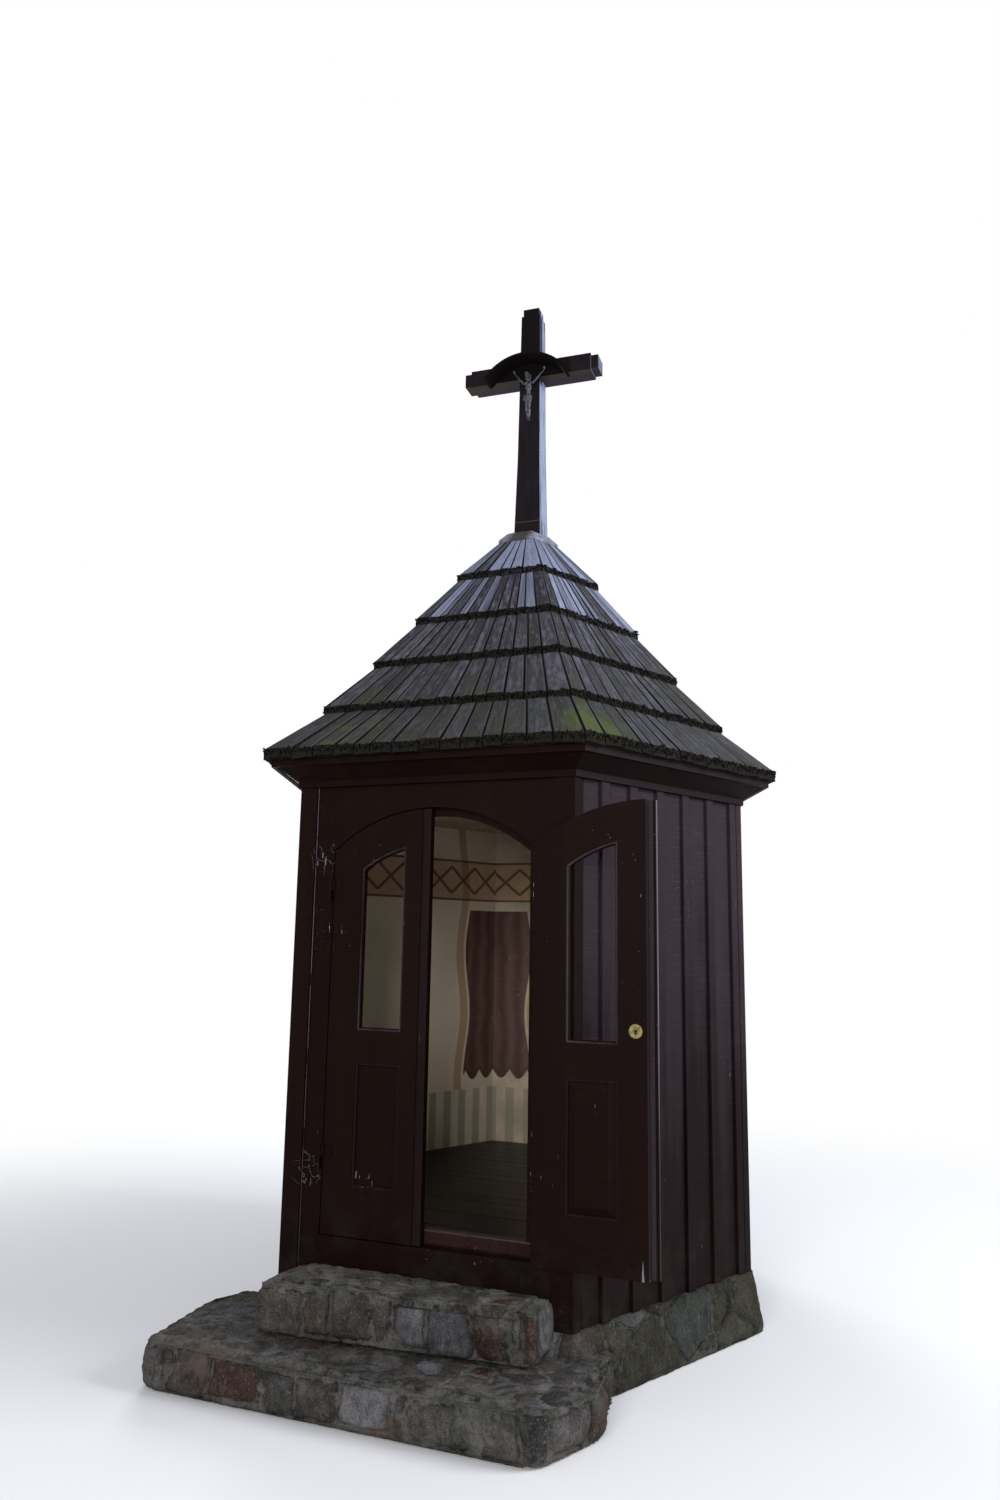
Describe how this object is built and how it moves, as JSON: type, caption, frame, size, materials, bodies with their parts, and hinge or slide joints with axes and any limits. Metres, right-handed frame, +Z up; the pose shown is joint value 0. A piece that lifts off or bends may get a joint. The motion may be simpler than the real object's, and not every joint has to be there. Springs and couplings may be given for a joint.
{
  "type": "small chapel",
  "caption": "Small six-sided timber wayside chapel on a fieldstone plinth with steps, an arched glazed double door, a tiered plank roof and a timber cross",
  "frame": {"origin": "middle of the plan on the ground", "axes": "+Z up, doorway faces -Y, +X to the right when facing the doorway"},
  "size_m": [2.4748, 2.8166, 5.002],
  "materials": {
    "fieldstone": "rough fieldstone in grey mortar",
    "floor_board": "dark worn boards",
    "painted_lining": "cream paint on boards",
    "maroon_board": "dark maroon paint, weathered",
    "door_paint": "dark maroon gloss paint",
    "pane": "old clear pane",
    "hinge_iron": "painted over, chipped",
    "lock_brass": "worn",
    "roof_plank": "weathered grey, mossy",
    "cross_timber": "dark maroon paint",
    "figure_metal": "dull silver-grey cast"
  },
  "bodies": {
    "chapel": {"plinth": "fieldstone", "lower_step": "fieldstone", "upper_step": "fieldstone", "floor_boards": "floor_board", "wall_lining": "painted_lining", "ceiling_boards": "painted_lining", "front_base": "maroon_board", "front_wall_left": "maroon_board", "front_wall_right": "maroon_board", "front_wall_over_door": "maroon_board", "wall_front_right": "maroon_board", "wall_back_right": "maroon_board", "wall_back": "maroon_board", "wall_back_left": "maroon_board", "wall_front_left": "maroon_board", "corner_post_front_left": "maroon_board", "corner_post_front_right": "maroon_board", "corner_post_side_right": "maroon_board", "corner_post_back_right": "maroon_board", "corner_post_back_left": "maroon_board", "corner_post_side_left": "maroon_board", "frieze": "maroon_board", "soffit": "maroon_board", "eave_board": "maroon_board", "wall_plate": "maroon_board", "door_sill": "maroon_board", "door_frame": "maroon_board", "frame_hinges_left": "hinge_iron", "frame_hinges_right": "hinge_iron", "roof_deck": "roof_plank", "roof_tier_1": "roof_plank", "roof_tier_2": "roof_plank", "roof_tier_3": "roof_plank", "roof_tier_4": "roof_plank", "roof_tier_5": "roof_plank", "apex_collar": "roof_plank", "cross_shaft": "cross_timber", "cross_arm": "cross_timber", "cross_hood": "cross_timber", "cross_figure": "figure_metal"},
    "left_leaf": {"left_leaf_frame": "door_paint", "left_leaf_panel": "door_paint", "left_leaf_glass": "pane", "left_leaf_hinges": "hinge_iron"},
    "right_leaf": {"right_leaf_frame": "door_paint", "right_leaf_panel": "door_paint", "right_leaf_glass": "pane", "right_leaf_hinges": "hinge_iron", "cover_strip": "door_paint", "lock_rosettes": "lock_brass"}
  },
  "joints": [
    {"name": "left_leaf_swing", "type": "hinge", "parent": "chapel", "child": "left_leaf", "pos_m": [-0.461, -1.0675, 1.2], "axis": [0, 0, -1], "range_deg": [0, 180]},
    {"name": "right_leaf_swing", "type": "hinge", "parent": "chapel", "child": "right_leaf", "pos_m": [0.461, -1.0675, 1.2], "axis": [0, 0, -1], "range_deg": [0, 180]}
  ]
}
